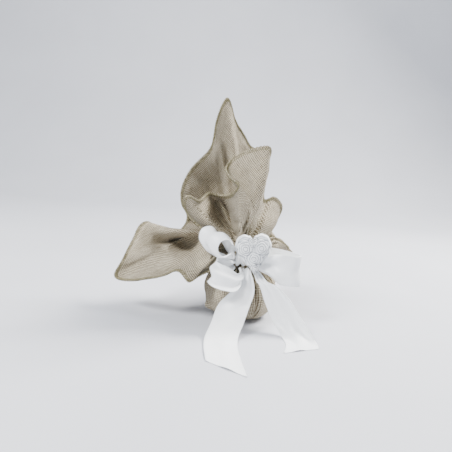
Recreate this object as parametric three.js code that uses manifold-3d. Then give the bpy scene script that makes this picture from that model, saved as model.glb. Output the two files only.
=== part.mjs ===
// Wedding favour pouch: a square of natural linen gathered round sugared almonds,
// tied with white satin ribbon and finished with a plaster heart.
// Millimetres, +Z up, the front (bow and heart) faces -Y, the origin is the middle of the base.
import * as THREE from 'three';
import Module from 'manifold-3d';

const wasm = await Module();
wasm.setup();
const { Manifold, Mesh } = wasm;

// ---- driving sizes -------------------------------------------------------
const CLOTH_SIDE = 300;        // side of the linen square
const CLOTH_T = 1.2;           // thickness of the linen
const NECK_FLAT = 94;          // distance along the cloth from the middle to the top of the neck
const NECK_R = 9.0;            // radius of the gathered neck, middle of the cloth
const NECK_Z = 54;             // height of the top of the neck
const EDGE_GAP = 0.6;         // gap between the cloth edge and the bar of thread
const EDGE_T = 0.8;            // thickness of the stitched edging
const RIBBON_W = 25;           // width of the satin ribbon
const RIBBON_T = 0.6;          // thickness of the ribbon
const BAND_R = 11.1;           // inside radius of the ribbon round the neck
const THREAD_R = 0.4;          // radius of the thread round the neck
const HEART_W = 30, HEART_H = 36, HEART_T = 8;
const ALMOND = [28, 18, 12.5]; // length, width, height of a sugared almond
const RAYS = 68;               // gores round the cloth
const FLARE_ROWS = 9;

// profile of the bag below the neck: distance along the cloth, radius, height
const BAG = [
  [0, 0, 0], [14, 14, 0], [22, 21.5, 2], [32, 28.5, 8.5], [44, 31, 20], [57, 29.5, 32.5],
  [68, 22.5, 40.6], [78, 13.5, 43.4], [84, 9.4, 46], [94, 9.0, 54],
];
const BAG_ROWS = [14, 22, 32, 44, 57, 66, 73, 79, 84];

// the edge of the square, corner to corner: distance along the edge, then x, y, z
const HEM = [
  [0,-105.9,-12.0,26.0], [20,-88.7,-22.0,27.6], [40,-73.9,-28.0,33.0], [58,-60.7,-32.0,38.4], [74,-49.3,-35.0,40.2], [82,-43.2,-36.0,34.4], 
  [92,-36.6,-31.0,37.7], [106,-24.0,-28.5,44.5], [120,-17.5,-20.5,57.0], [132,-32.5,-22.0,72.5], [143,-44.7,-20.0,81.9], [153,-51.7,-21.0,91.2], 
  [160,-52.4,-24.0,98.8], [167,-48.0,-26.0,102.1], [176,-41.7,-22.0,98.7], [187,-37.7,-10.0,100.3], [197,-34.4,2.0,103.0], [208,-26.7,6.0,102.0], 
  [219,-18.1,-6.0,103.3], [230,-13.0,-24.0,107.2], [238,-9.9,-39.0,112.9], [242.5,-10.2,-40.5,116.0], [247,-12.0,-38.5,117.6], [253,-16.5,-28.0,119.8], 
  [262,-20.7,-12.0,125.7], [271,-17.9,-5.0,131.5], [281,-10.2,-10.0,137.8], [290,-2.7,-18.0,142.0], [300,10.4,-30.0,145.6], [312,13.4,-22.0,137.4], 
  [328,13.6,-12.0,126.8], [345,12.6,-6.0,115.0], [361,12.8,-1.0,103.7], [373,16.5,6.0,101.2], [382,21.8,10.0,103.5], [392,28.7,15.0,100.1], 
  [401,31.8,17.0,93.0], [410,27.3,12.0,84.3], [420,21.7,6.0,78.5], [430,24.8,10.0,72.0], [442,31.7,20.0,65.4], [455,39.1,32.0,59.1], 
  [466,45.9,44.0,52.5], [485,55.6,58.0,42.4], [508,60.4,72.0,34.5], [535,60.2,84.0,31.8], [568,58.6,92.0,27.6], [600,50.0,94.0,26.0], 
  [630,34.7,92.0,32.1], [655,26.0,80.0,46.8], [680,20.1,64.0,55.5], [705,16.8,48.0,69.8], [730,10.5,34.0,88.3], [755,4.2,30.0,104.8], 
  [780,1.1,36.0,122.5], [812,1.1,32.0,140.6], [835,-2.5,24.0,147.3], [855,-9.7,18.0,157.7], [878,-17.7,12.0,169.3], [900,-24.7,6.0,183.0], 
  [912,-29.1,4.0,175.1], [935,-33.0,4.0,156.0], [955,-35.7,6.0,140.8], [970,-43.4,4.0,131.0], [988,-51.0,2.0,121.1], [1003,-55.8,2.0,110.6], 
  [1017,-57.6,6.0,99.0], [1030,-54.8,12.0,88.2], [1044,-52.3,20.0,78.5], [1056,-54.8,24.0,69.5], [1068,-60.8,24.0,63.9], [1080,-68.9,24.5,61.9], 
  [1092,-76.2,23.5,64.1], [1103,-84.8,24.0,69.3], [1111,-90.0,22.0,70.5], [1120,-94.5,18.0,67.1], [1132,-97.3,12.0,58.7], [1150,-100.4,4.0,49.2], 
  [1172,-103.5,-7.0,39.0], 
];

// how far the middle of each gore is drawn away from its plain arc, x, y, z, and how near the hem the draw sits
const MID = [
  [0,0,0,12,0], [20,0,-4,10,0], [40,0,-10,6,0], [74,-2,-10,0,0], [92,-2,-8,6,0], [106,-2,-4,4,0], [120,-2,-1,2,0], [132,-1,0,0,0], [150,0,-3,0,0], 
  [167,2,-4,-4,0], [187,4,0,-8,0], [208,2,6,-6,0], [222,0,3,-4,0], [230,1,-2,0,0], [238,0,-6,0,0.3], [247,5,-2.5,0,3], [253,7,-7,0,3], 
  [262,10,-17,0,1.6], [271,10.5,-19,0,1.6], [281,8,-17,0,1.4], [290,5,-14,0,1.2], [300,3,-8,0,0.8], [345,2,-4,0,0], [373,2,-3,2,0], [401,4,-4,-2,0], 
  [420,1,-3,-6,0], [450,2,0,-2,0], [500,4,6,0,0], [550,4,6,4,0], [600,0,6,10,0], [650,0,0,0,0], [680,0,6,0,0], [740,-5,4,0,0], [780,-1.5,5,0,0], 
  [800,0,7,0,0], [850,0,8,0,0], [880,3,4,0,0], [900,0,-2,0,0], [920,-3,6,0,0], [970,-8,8,0,0], [1003,-8,8,0,0], [1030,-4,8,-2,0], [1060,0,8,-2,0], 
  [1080,0,6,-8,0], [1100,0,6,-6,0], [1120,0,6,0,0], [1150,0,4,2,0], [1175,0,2,8,0], 
];

// ---- curves --------------------------------------------------------------
const PERIM = 4 * CLOTH_SIDE;
function solvePeriodic(t, y) {            // second derivatives of a closed cubic spline
  const n = t.length, h = t.map((v, i) => (i + 1 < n ? t[i + 1] : t[0] + PERIM) - v);
  const A = [], b = [];
  for (let i = 0; i < n; i++) {
    const p = (i + n - 1) % n, q = (i + 1) % n, row = new Array(n).fill(0);
    row[p] += h[p]; row[i] += 2 * (h[p] + h[i]); row[q] += h[i];
    A.push(row); b.push(6 * ((y[q] - y[i]) / h[i] - (y[i] - y[p]) / h[p]));
  }
  for (let i = 0; i < n; i++) {
    let m = i; for (let k = i + 1; k < n; k++) if (Math.abs(A[k][i]) > Math.abs(A[m][i])) m = k;
    [A[i], A[m]] = [A[m], A[i]]; [b[i], b[m]] = [b[m], b[i]];
    for (let k = i + 1; k < n; k++) {
      const f = A[k][i] / A[i][i]; if (!f) continue;
      for (let c = i; c < n; c++) A[k][c] -= f * A[i][c];
      b[k] -= f * b[i];
    }
  }
  for (let i = n - 1; i >= 0; i--) {
    for (let c = i + 1; c < n; c++) b[i] -= A[i][c] * b[c];
    b[i] /= A[i][i];
  }
  return b;
}
function closedSpline(rows) {
  const t = rows.map(r => r[0]), n = t.length;
  const ch = [1, 2, 3].map(c => { const y = rows.map(r => r[c]); return { y, m: solvePeriodic(t, y) }; });
  return T => {
    T = ((T % PERIM) + PERIM) % PERIM;
    let i = n - 1; while (i > 0 && t[i] > T) i--;
    const q = (i + 1) % n, h = (q ? t[q] : t[0] + PERIM) - t[i], a = (t[i] + h - T) / h, b = 1 - a;
    return ch.map(({ y, m }) => a * y[i] + b * y[q] + ((a ** 3 - a) * m[i] + (b ** 3 - b) * m[q]) * h * h / 6);
  };
}
function slopes(x, y) {                   // monotone cubic slopes
  const n = x.length, d = [], h = [];
  for (let i = 0; i + 1 < n; i++) { h.push(x[i + 1] - x[i]); d.push((y[i + 1] - y[i]) / h[i]); }
  const m = new Array(n).fill(0);
  m[0] = d[0]; m[n - 1] = d[n - 2];
  for (let i = 1; i + 1 < n; i++) {
    if (d[i - 1] * d[i] > 0) {
      const a = 2 * h[i] + h[i - 1], b = h[i] + 2 * h[i - 1];
      m[i] = (a + b) / (a / d[i - 1] + b / d[i]);
    }
  }
  return m;
}
function monotone(x, y) {
  const m = slopes(x, y);
  return v => {
    let i = x.length - 2; while (i > 0 && x[i] > v) i--;
    const h = x[i + 1] - x[i], s = (v - x[i]) / h;
    return (2 * s ** 3 - 3 * s ** 2 + 1) * y[i] + (s ** 3 - 2 * s ** 2 + s) * h * m[i]
      + (-2 * s ** 3 + 3 * s ** 2) * y[i + 1] + (s ** 3 - s ** 2) * h * m[i + 1];
  };
}
const hemAt = closedSpline(HEM);
const midRows = [...MID.map(r => [r[0] - PERIM, ...r.slice(1)]), ...MID, ...MID.map(r => [r[0] + PERIM, ...r.slice(1)])];
const midAt = [1, 2, 3, 4].map(c => monotone(midRows.map(r => r[0]), midRows.map(r => r[c])));
const bagR = monotone(BAG.map(r => r[0]), BAG.map(r => r[1]));
const bagZ = monotone(BAG.map(r => r[0]), BAG.map(r => r[2]));
const goreAngle = T => {                  // direction of the gore that ends at T
  const k = Math.floor(T / CLOTH_SIDE), s = T - CLOTH_SIDE * k - CLOTH_SIDE / 2;
  return (225 + 90 * k) * Math.PI / 180 + Math.atan2(s, CLOTH_SIDE / 2);
};
const add = (a, b, k = 1) => a.map((v, i) => v + k * b[i]);
const cross = (a, b) => [a[1] * b[2] - a[2] * b[1], a[2] * b[0] - a[0] * b[2], a[0] * b[1] - a[1] * b[0]];
const norm = a => { const l = Math.hypot(...a) || 1; return a.map(v => v / l); };
const smooth = x => { x = Math.min(1, Math.max(0, x)); return x * x * (3 - 2 * x); };

function clothPoint(T, u) {               // u from 0 at the neck to 1 at the hem
  const th = goreAngle(T), H = hemAt(T), c = Math.cos(th), s = Math.sin(th);
  const N = [NECK_R * c, NECK_R * s, NECK_Z], ch = add(H, N, -1), L = Math.hypot(...ch);
  const h00 = 2 * u ** 3 - 3 * u ** 2 + 1, h10 = u ** 3 - 2 * u ** 2 + u, h01 = -2 * u ** 3 + 3 * u ** 2, h11 = u ** 3 - u ** 2;
  const T0 = [0.25 * c, 0.25 * s, 0.97].map(v => v * L * 0.75), w = 16 * (u * (1 - u)) ** 2 * (2 * Math.max(u, 1e-6)) ** midAt[3](T);
  return [0, 1, 2].map(i => h00 * N[i] + h10 * T0[i] + h01 * H[i] + h11 * 1.05 * ch[i] + w * midAt[i](T));
}

// ---- meshes --------------------------------------------------------------
function solid(name, pos, tri, colour, rough, metal = 0) {
  const g = new THREE.BufferGeometry();
  g.setAttribute('position', new THREE.Float32BufferAttribute(pos.flat(), 3));
  g.setIndex(tri.flat());
  g.computeVertexNormals();
  const m = new THREE.Mesh(g, new THREE.MeshStandardMaterial({ color: colour, roughness: rough, metalness: metal }));
  m.name = name;
  return m;
}
// closed band of quads between ring i and ring j of a grid of rings
function stitch(tri, a, b, n, flip) {
  for (let k = 0; k < n; k++) {
    const k2 = (k + 1) % n, q = [a + k, a + k2, b + k2, b + k];
    if (flip) tri.push([q[0], q[2], q[1]], [q[0], q[3], q[2]]);
    else tri.push([q[0], q[1], q[2]], [q[0], q[2], q[3]]);
  }
}

// gore positions crowd where the hem turns sharply
function goreList() {
  const N = 1200, w = [0]; let p = hemAt(0), d = null;
  for (let i = 1; i <= N; i++) {
    const q = hemAt(i * PERIM / N % PERIM), e = add(q, p, -1), l = Math.hypot(...e), f = norm(e);
    const turn = d ? Math.acos(Math.min(1, Math.max(-1, f[0] * d[0] + f[1] * d[1] + f[2] * d[2]))) : 0;
    w.push(w[i - 1] + l + 14 * turn + 0.2); p = q; d = f;
  }
  const out = [];
  for (let k = 0; k < RAYS; k++) {
    const v = w[N] * k / RAYS; let i = 0; while (w[i + 1] < v) i++;
    out.push((i + (v - w[i]) / (w[i + 1] - w[i])) * PERIM / N);
  }
  return out;
}
const gores = goreList();

function clothRows() {
  const rows = [];
  for (const rho of BAG_ROWS) rows.push(gores.map(T => {
    const a = goreAngle(T); return [bagR(rho) * Math.cos(a), bagR(rho) * Math.sin(a), bagZ(rho) + CLOTH_T / 2];
  }));
  for (let i = 0; i <= FLARE_ROWS; i++) {
    const u = (i / FLARE_ROWS) ** 1.15;
    rows.push(gores.map(T => clothPoint(T, u)));
  }
  return rows;
}
const rows = clothRows();
function offsets(rows) {
  const n = RAYS, R = rows.length;
  return rows.map((row, i) => row.map((p, k) => {
    const a = rows[Math.max(0, i - 1)][k], b = rows[Math.min(R - 1, i + 1)][k];
    const c = row[(k + n - 1) % n], d = row[(k + 1) % n];
    return norm(cross(add(d, c, -1), add(b, a, -1)));   // points to the outer face
  }));
}
// one gore of cloth as a closed bar; the gores join into one cloth, so folds that press together become one body
function clothSolid(t) {
  const nrm = offsets(rows), n = RAYS, R = rows.length, gore = [];
  const outer = (i, k) => (i === 0 ? [rows[0][k][0], rows[0][k][1], (CLOTH_T - t) / 2] : add(rows[i][k], nrm[i][k], t / 2));
  const inner = (i, k) => (i === 0 ? [rows[0][k][0] * 0.96, rows[0][k][1] * 0.96, (CLOTH_T + t) / 2] : add(rows[i][k], nrm[i][k], -t / 2));
  for (let k = 0; k < n; k++) {
    const k2 = (k + 1) % n, pos = [], tri = [];
    pos.push([0, 0, (CLOTH_T - t) / 2], [0, 0, (CLOTH_T + t) / 2]);
    for (let i = 0; i < R; i++) pos.push(outer(i, k), outer(i, k2), inner(i, k2), inner(i, k));
    const v = (i, j) => 2 + 4 * i + j;
    for (let i = 0; i + 1 < R; i++) for (let j = 0; j < 4; j++) {
      const j2 = (j + 1) % 4;
      if (j % 2 === 0) tri.push([v(i, j), v(i, j2), v(i + 1, j2)], [v(i, j), v(i + 1, j2), v(i + 1, j)]);
      else if (j === 1) tri.push([v(i, j), v(i, j2), v(i + 1, j2)], [v(i, j), v(i + 1, j2), v(i + 1, j)]);
      else tri.push([v(i, j), v(i, j2), v(i + 1, j)], [v(i, j2), v(i + 1, j2), v(i + 1, j)]);
    }
    tri.push([v(R - 1, 0), v(R - 1, 1), v(R - 1, 2)], [v(R - 1, 0), v(R - 1, 2), v(R - 1, 3)]);
    tri.push([0, v(0, 1), v(0, 0)], [1, v(0, 3), v(0, 2)], [0, v(0, 0), v(0, 3)], [0, v(0, 3), 1], [1, v(0, 2), v(0, 1)], [1, v(0, 1), 0]);
    gore.push(closed(pos, tri));
  }
  return parted(biggest(Manifold.union(gore).simplify(0.02)));
}
// where two folds only touch along a line, draws each a hair back into its own cloth
function parted(m) {
  const g = m.getMesh(), k = g.numProp, n = g.numVert, pos = [], nrm = [], tri = [], at = new Map();
  for (let i = 0; i < n; i++) { pos.push([g.vertProperties[i * k], g.vertProperties[i * k + 1], g.vertProperties[i * k + 2]]); nrm.push([0, 0, 0]); }
  for (let i = 0; i < g.triVerts.length; i += 3) {
    const t = [g.triVerts[i], g.triVerts[i + 1], g.triVerts[i + 2]]; tri.push(t);
    const c = cross(add(pos[t[1]], pos[t[0]], -1), add(pos[t[2]], pos[t[0]], -1));
    for (const v of t) nrm[v] = add(nrm[v], c);
  }
  const cell = 0.01, key = (a, d) => a.map((v, i) => Math.round(v / cell) + d[i]).join();
  pos.forEach((p, i) => { const q = key(p, [0, 0, 0]); if (!at.has(q)) at.set(q, []); at.get(q).push(i); });
  const move = [];
  pos.forEach((p, i) => {
    for (let a = -1; a < 2; a++) for (let b = -1; b < 2; b++) for (let c = -1; c < 2; c++)
      for (const j of at.get(key(p, [a, b, c])) || []) if (j !== i && Math.hypot(...add(p, pos[j], -1)) < 0.006) { move.push(i); return; }
  });
  for (const i of move) pos[i] = add(pos[i], norm(nrm[i]), -0.03);
  return closed(pos, tri);
}
function closed(pos, tri) {
  return new Manifold(new Mesh({ numProp: 3, vertProperties: new Float32Array(pos.flat()), triVerts: new Uint32Array(tri.flat()) }));
}
const biggest = m => m.decompose().sort((a, b) => b.volume() - a.volume())[0];
function meshOf(name, m, colour, rough) {
  const g = m.getMesh(), k = g.numProp, pos = [], tri = [];
  for (let i = 0; i < g.numVert; i++) pos.push([g.vertProperties[i * k], g.vertProperties[i * k + 1], g.vertProperties[i * k + 2]]);
  for (let i = 0; i < g.triVerts.length; i += 3) tri.push([g.triVerts[i], g.triVerts[i + 1], g.triVerts[i + 2]]);
  return solid(name, pos, tri, colour, rough);
}
function edging() {                       // thread bar lying along the cut edge
  const nrm = offsets(rows), n = RAYS, R = rows.length, pos = [], tri = [], ring = [];
  const last = rows[R - 1], prev = rows[R - 2];
  for (let k = 0; k < n; k++) {
    const m = nrm[R - 1][k], g = norm(add(last[k], prev[k], -1));
    const e1 = norm(add(last[k], last[(k + n - 1) % n], -1)), e2 = norm(add(last[(k + 1) % n], last[k], -1));
    let o = norm(cross(norm(add(e1, e2)), m)); if (o[0] * g[0] + o[1] * g[1] + o[2] * g[2] < 0) o = o.map(v => -v);
    const bend = Math.sqrt(Math.max(0.2, (1 + e1[0] * e2[0] + e1[1] * e2[1] + e1[2] * e2[2]) / 2));
    const c = add(last[k], o, EDGE_GAP / bend);
    ring.push([add(c, m, EDGE_T / 2), add(add(c, o, EDGE_T), m, EDGE_T / 2), add(add(c, o, EDGE_T), m, -EDGE_T / 2), add(c, m, -EDGE_T / 2)]);
  }
  ring.forEach(r => pos.push(...r));
  for (let k = 0; k < n; k++) for (let j = 0; j < 4; j++) {
    const a = 4 * k + j, b = 4 * k + (j + 1) % 4, c = 4 * ((k + 1) % n) + (j + 1) % 4, d = 4 * ((k + 1) % n) + j;
    tri.push([a, c, b], [a, d, c]);
  }
  return meshOf('overlock_edging', biggest(closed(pos, tri).subtract(clothSolid(CLOTH_T + 0.3))), 0x6f6a50, 0.9);
}
// a ribbon piece: stations of [middle, half-width vector, slant], swept into a thin bar
function ribbon(name, st, segs = 4, t = RIBBON_T, colour = 0xf5f6f6) {
  const mid = [], half = [];
  for (const s of st) { mid.push(new THREE.Vector3(...s[0])); half.push(new THREE.Vector3(...s[1])); }
  const cm = new THREE.CatmullRomCurve3(mid, false, 'centripetal'), ch = new THREE.CatmullRomCurve3(half, false, 'centripetal');
  const N = (st.length - 1) * segs, pos = [], tri = [];
  for (let i = 0; i <= N; i++) {
    const u = i / N, p = cm.getPoint(u), w = ch.getPoint(u), d = cm.getTangent(u), n = new THREE.Vector3().crossVectors(d, w).normalize().multiplyScalar(t / 2);
    const slant = st.slant && i === N ? st.slant : 0, dv = d.clone().multiplyScalar(slant);
    for (const [sw, sn] of [[-1, -1], [1, -1], [1, 1], [-1, 1]]) {
      const v = p.clone().addScaledVector(w, sw).addScaledVector(n, sn).addScaledVector(dv, sw);
      pos.push([v.x, v.y, v.z]);
    }
  }
  for (let i = 0; i < N; i++) for (let j = 0; j < 4; j++) {
    const a = 4 * i + j, b = 4 * i + (j + 1) % 4, c = b + 4, e = a + 4;
    tri.push([a, b, c], [a, c, e]);
  }
  tri.push([0, 2, 1], [0, 3, 2]);
  const e = 4 * N; tri.push([e, e + 1, e + 2], [e, e + 2, e + 3]);
  return solid(name, pos, tri, colour, 0.35);
}
function lathe(name, pts, seg, colour, rough, at = [0, 0, 0]) {   // closed profile of [r, z]
  const pos = [], tri = [], m = pts.length;
  for (const [r, z] of pts) for (let k = 0; k < seg; k++) {
    const a = 2 * Math.PI * k / seg; pos.push([at[0] + r * Math.cos(a), at[1] + r * Math.sin(a), at[2] + z]);
  }
  for (let i = 0; i < m; i++) stitch(tri, i * seg, ((i + 1) % m) * seg, seg, false);
  return solid(name, pos, tri, colour, rough);
}
function ball(name, semi, at, turn, tilt, colour, rough, seg = 12, ringN = 7) {
  const pos = [], tri = [], q = new THREE.Euler(tilt, 0, turn, 'ZYX');
  const put = (x, y, z) => { const v = new THREE.Vector3(x, y, z).applyEuler(q); pos.push([v.x + at[0], v.y + at[1], v.z + at[2]]); };
  put(0, 0, -semi[2]);
  for (let i = 1; i <= ringN; i++) {
    const f = -Math.PI / 2 + Math.PI * i / (ringN + 1);
    for (let k = 0; k < seg; k++) { const a = 2 * Math.PI * k / seg; put(semi[0] * Math.cos(f) * Math.cos(a), semi[1] * Math.cos(f) * Math.sin(a), semi[2] * Math.sin(f)); }
  }
  put(0, 0, semi[2]);
  const top = pos.length - 1;
  for (let k = 0; k < seg; k++) {
    const k2 = (k + 1) % seg;
    tri.push([0, 1 + k2, 1 + k], [top, 1 + (ringN - 1) * seg + k, 1 + (ringN - 1) * seg + k2]);
  }
  for (let i = 0; i + 1 < ringN; i++) stitch(tri, 1 + i * seg, 1 + (i + 1) * seg, seg, false);
  return solid(name, pos, tri, colour, rough);
}
function heart() {                        // domed heart, flat at the back, leaning with the knot
  const n = 28, out = [];
  for (let k = 0; k < n; k++) {
    const a = 2 * Math.PI * k / n + 1e-9;
    const x = 16 * Math.sin(a) ** 3, y = 13 * Math.cos(a) - 5 * Math.cos(2 * a) - 2 * Math.cos(3 * a) - Math.cos(4 * a);
    out.push([x / 32 * HEART_W, (y + 2.6) / 29 * HEART_H]);
  }
  const layers = [[0.93, 0], [1, 1.6], [0.97, 4.2], [0.84, 6.2], [0.55, 7.6]], pos = [], tri = [];
  const tilt = 0.14, c = Math.cos(tilt), s = Math.sin(tilt);
  const put = (x, y, d) => pos.push([HEART_AT[0] + x * c - y * s, HEART_AT[1] - d, HEART_AT[2] + x * s * 1 + y * c]);
  for (const [f, d] of layers) for (const [x, y] of out) put(x * f, (y - 2) * f + 2, d);
  const m = layers.length;
  for (let i = 0; i + 1 < m; i++) stitch(tri, i * n, (i + 1) * n, n, false);
  put(0, 2, 0); put(0, 2, HEART_T);
  for (let k = 0; k < n; k++) { const k2 = (k + 1) % n; tri.push([m * n, k2, k], [m * n + 1, (m - 1) * n + k, (m - 1) * n + k2]); }
  return solid('plaster_heart', pos, tri.map(t => [t[0], t[2], t[1]]), 0xf2f2ef, 0.85);
}
const HEART_AT = [7.5, -24.6, 58];

const pouch = new THREE.Group();
pouch.name = 'favour_pouch';
pouch.add(meshOf('linen_square', clothSolid(CLOTH_T), 0xb3a88f, 0.95), edging());

// thread and ribbon round the neck
{
  const c = [10.35, 50], pts = [];
  for (let j = 0; j < 6; j++) { const a = Math.PI * 2 * j / 6; pts.push([c[0] + THREAD_R * Math.cos(a), c[1] + THREAD_R * Math.sin(a)]); }
  pouch.add(lathe('neck_thread', pts, 28, 0xd8d0bd, 0.8));
  pouch.add(lathe('ribbon_neck_band', [[BAND_R + 0.6, 47.6], [BAND_R + 1.3, 47.6], [BAND_R + 0.7, 50], [BAND_R + 1.2, 53.4], [BAND_R + 0.5, 53.4], [BAND_R, 50]], 32, 0xf5f6f6, 0.35));
}
// knot: a soft pad across the front of the band
pouch.add(ball('bow_knot', [8, 4.2, 6.4], [1.5, -17.6, 52.2], 0, 0, 0xf5f6f6, 0.35, 14, 7));
pouch.add(ball('glue_dab', [4.6, 0.8, 4.6], [3.5, -23.0, 53], 0, 0, 0xe8e4d6, 0.4, 12, 5));
pouch.add(heart());

// bow loops
pouch.add(ribbon('bow_loop_upper_left', [
  [[-7.2, -16.4, 55.5], [0.8, -1.0, 5.2]], [[-15, -27.2, 62], [2.0, -2.0, 9.3]], [[-26, -30, 68], [3.5, -2, 11.2]], [[-34, -33.4, 69], [4.5, 0.5, 11.4]],
  [[-37, -37.2, 67.5], [4.8, 2, 11.2]], [[-32.8, -40.6, 65], [5, 1, 11.2]], [[-23.5, -39.8, 61], [4.5, -1, 10.9]], [[-15, -34.6, 57.2], [3, -2, 8.4]], [[-9.6, -26.0, 53.0], [1.5, -1.5, 5]]], 3));
pouch.add(ribbon('bow_loop_lower_left', [
  [[-7.6, -19.6, 47.6], [1.2, 1.2, 3.6]], [[-14.5, -28, 40.6], [2.4, 2.6, 6]], [[-23.5, -34, 37.8], [3.4, 4, 9.2]], [[-29, -38.5, 38.2], [3.2, 5, 9.6]],
  [[-25.6, -43.6, 36.4], [2.4, 5, 9.8]], [[-14, -45, 35.6], [1.4, 4, 9.8]], [[-4.5, -41.4, 38.4], [0.8, 3, 7.4]], [[-3.2, -34.4, 42.8], [0.4, 2, 4.6]], [[-3.2, -28.6, 45.6], [0.4, 1.5, 3.4]]], 3));
pouch.add(ribbon('bow_loop_right', [
  [[10.8, -14.6, 52], [0.3, 1, 5.5]], [[18, -13.5, 52], [0.2, 1, 10]], [[30, -15.5, 50.5], [0, 0, 12.4]], [[42, -19.5, 49], [-0.6, 0, 12.4]],
  [[46.5, -24.5, 48.4], [-0.9, 0, 12.4]], [[42, -29, 48.2], [-0.6, 0, 12.4]], [[30, -29, 49], [0, 0, 12.2]], [[22.5, -25.6, 50.5], [0.1, 0.6, 9]], [[12.4, -21.6, 49.6], [0.2, 1, 4.6]]], 3));
// tails, lying forward on the table
pouch.add(ribbon('ribbon_tail_left', Object.assign([
  [[3.0, -20.4, 45.6], [3.4, 0.5, -0.2]], [[3.4, -24.2, 42.6], [4, 0.8, -0.4]], [[3.6, -30, 38.6], [5.4, 1.2, -0.4]], [[1.2, -36.6, 31], [9, 1.6, -0.5]], [[-5.6, -46, 21], [12.2, 1.6, -0.6]], [[-9.8, -55.5, 10], [12.3, 1.6, -0.4]],
  [[-13.4, -65, 2.6], [12.4, 1.4, 0]], [[-13.6, -78, 0.6], [12.4, 0.4, 0]], [[-11.5, -98, 0.35], [12.4, -0.6, 0]], [[-9.4, -112, 0.35], [12.3, -1.6, 0]]], { slant: 0.62 }), 4));
pouch.add(ribbon('ribbon_tail_right', Object.assign([
  [[8.6, -19.0, 45.2], [2.4, -0.8, 0.2]], [[12.6, -23.4, 41.6], [3.4, -1.4, 0.2]], [[15.8, -28.8, 37.8], [4.4, -2, 0.5]], [[20.4, -32.8, 36], [6.8, -2.6, 0.8]], [[28, -36, 26], [9.4, -3.6, 2.4]], [[36, -41, 13.6], [10.6, -4, 3.4]],
  [[43.2, -50, 4.6], [11.4, -3.4, 2.0]], [[46.6, -61, 0.8], [12.2, -1.2, 0]], [[45.4, -73, 0.35], [12.3, -1, 0]]], { slant: -0.62 }), 4));

// sweets in their veil
pouch.add(lathe('tulle_veil', [[2.5, 2.1], [12, 2.1], [19.6, 3.9], [26.6, 9.8], [29.2, 20], [27.9, 31.4], [21.4, 39], [12.6, 42.3], [5, 43.6],
  [4.4, 42.9], [12.2, 41.6], [20.9, 38.4], [27.3, 31.1], [28.5, 20], [26.1, 10.3], [19.3, 4.6], [12, 2.9], [2.5, 2.9]], 24, 0xf7f6f2, 0.8));
for (let i = 0; i < 3; i++) { const a = (20 + 120 * i) * Math.PI / 180; pouch.add(ball('sugared_almond_' + (i + 1), ALMOND.map(v => v / 2), [13.6 * Math.cos(a), 13.6 * Math.sin(a), 10.6], a + Math.PI / 2, 0, 0xf6f3ec, 0.5)); }
for (let i = 0; i < 2; i++) { const a = (75 + 180 * i) * Math.PI / 180; pouch.add(ball('sugared_almond_' + (i + 4), ALMOND.map(v => v / 2), [11.2 * Math.cos(a), 11.2 * Math.sin(a), 25], a + Math.PI / 2, 0, 0xf6f3ec, 0.5)); }

export default pouch;
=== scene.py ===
# Wedding favour pouch: gathered linen, satin bow, plaster heart. Metres, +Z up, the bow faces -Y.
import bpy, math
import numpy as np
from mathutils import Matrix, Vector


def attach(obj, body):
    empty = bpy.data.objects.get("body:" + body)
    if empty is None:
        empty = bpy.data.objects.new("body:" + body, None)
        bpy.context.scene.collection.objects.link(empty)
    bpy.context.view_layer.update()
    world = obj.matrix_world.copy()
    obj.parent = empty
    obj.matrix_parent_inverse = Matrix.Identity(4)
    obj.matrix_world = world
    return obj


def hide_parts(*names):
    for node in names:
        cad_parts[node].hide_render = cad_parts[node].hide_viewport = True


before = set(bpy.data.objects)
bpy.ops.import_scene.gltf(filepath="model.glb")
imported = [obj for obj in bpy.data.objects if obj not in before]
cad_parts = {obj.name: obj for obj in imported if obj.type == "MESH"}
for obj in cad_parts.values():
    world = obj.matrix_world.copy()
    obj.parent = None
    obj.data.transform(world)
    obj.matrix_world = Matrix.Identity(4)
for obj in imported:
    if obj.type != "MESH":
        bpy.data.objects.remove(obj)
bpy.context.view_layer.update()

MM = 0.001

# ------------------------------------------------------------------ camera
RIGHT = np.array([0.99664, 0.01225, 0.08101])
f = math.radians(8.6); r = math.radians(4.7)
FWD = np.array([0, math.cos(f), -math.sin(f)]); UP0 = np.array([0, math.sin(f), math.cos(f)])
RV = math.cos(r) * np.array([1.0, 0, 0]) + math.sin(r) * UP0
UV_ = -math.sin(r) * np.array([1.0, 0, 0]) + math.cos(r) * UP0
CAM_AT = np.array([-16.786, -400.0, 136.736]) * MM
cd = bpy.data.cameras.new("camera"); cam = bpy.data.objects.new("camera", cd)
bpy.context.scene.collection.objects.link(cam)
cd.sensor_width = 36.0; cd.lens = 473.0 / 452.0 * 36.0; cd.clip_start = 0.01; cd.clip_end = 20
m = Matrix.Identity(4)
for i in range(3):
    m[i][0] = RV[i]; m[i][1] = UV_[i]; m[i][2] = -FWD[i]; m[i][3] = CAM_AT[i]
cam.matrix_world = m
bpy.context.scene.camera = cam

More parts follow.
